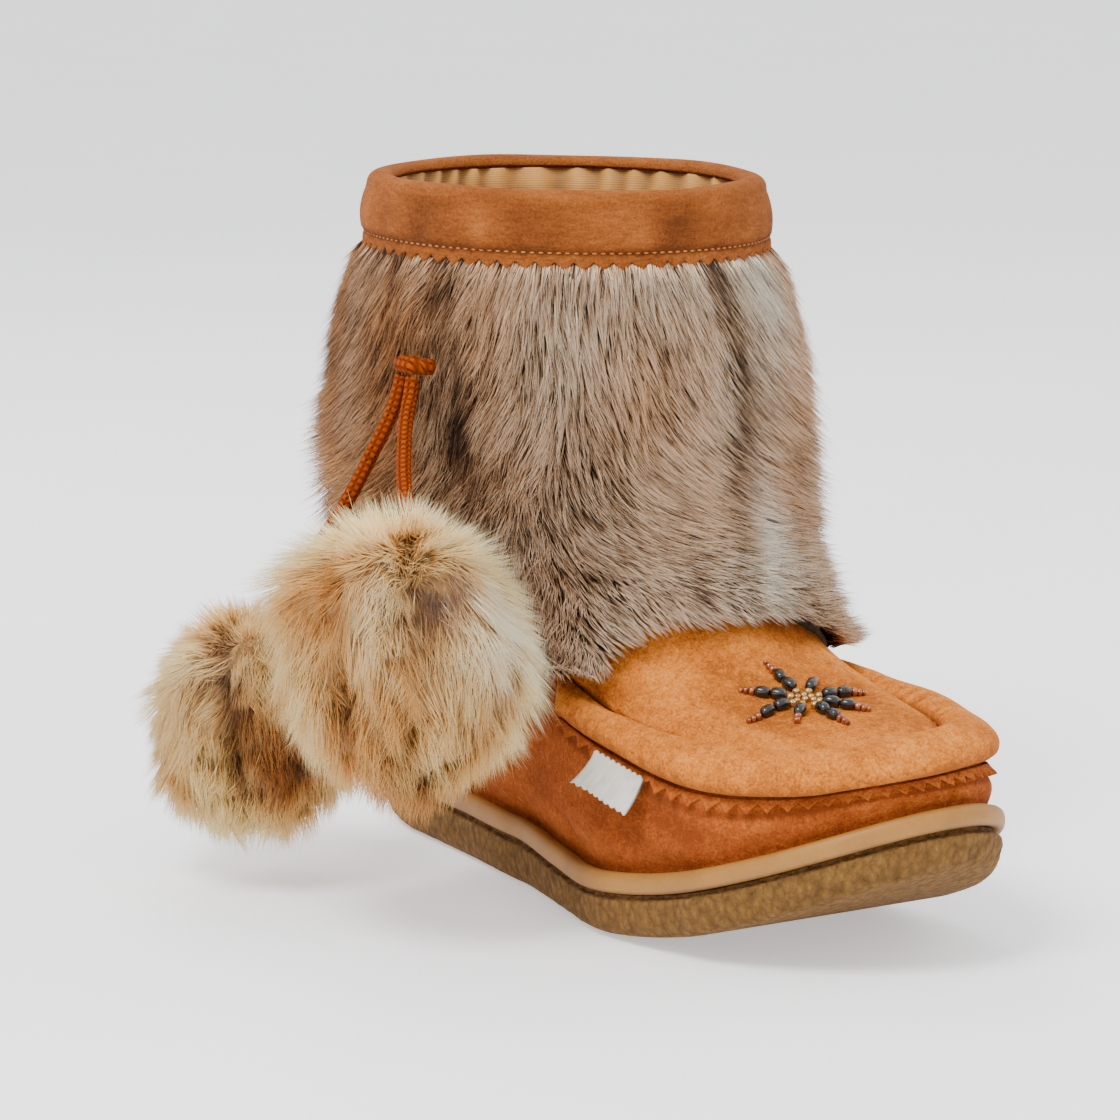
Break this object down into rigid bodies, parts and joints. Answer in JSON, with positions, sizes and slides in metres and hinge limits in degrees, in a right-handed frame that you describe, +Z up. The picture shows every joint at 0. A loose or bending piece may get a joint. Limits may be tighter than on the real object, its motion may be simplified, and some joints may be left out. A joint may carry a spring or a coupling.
{
  "type": "mukluk boot",
  "caption": "Low right-foot boot with a hollow suede upper, deep fur cuff, padded apron seam, beaded star, two fur pompoms on cords and a crepe-textured sole with a sprung toe.",
  "frame": {"origin": "on the floor under the middle of the heel", "axes": "+X towards the toe, +Y towards the wearer's left, +Z up"},
  "size_m": [0.2823, 0.2046, 0.2105],
  "materials": {
    "sole": "matt crepe-textured tan rubber",
    "welt": "smooth light tan rubber",
    "footbed": "fleece",
    "suede": "tan suede",
    "fur": "grey and beige rabbit fur",
    "beads": "glossy black and copper glass beads",
    "label": "blank white woven tab",
    "cord": "rust-orange braided cord",
    "pompom_fur": "cream and tan rabbit fur"
  },
  "bodies": {
    "root": {"outsole": "sole", "welt": "welt", "insole": "footbed", "upper": "suede", "apron": "suede", "seam_roll": "suede", "pinked_trim": "suede", "collar_band": "suede", "fur_cuff": "fur", "bead_star": "beads", "side_label": "label", "cord_knot": "cord", "cord_front": "cord", "cord_back": "cord", "pompom_front": "pompom_fur", "pompom_back": "pompom_fur"}
  },
  "joints": []
}
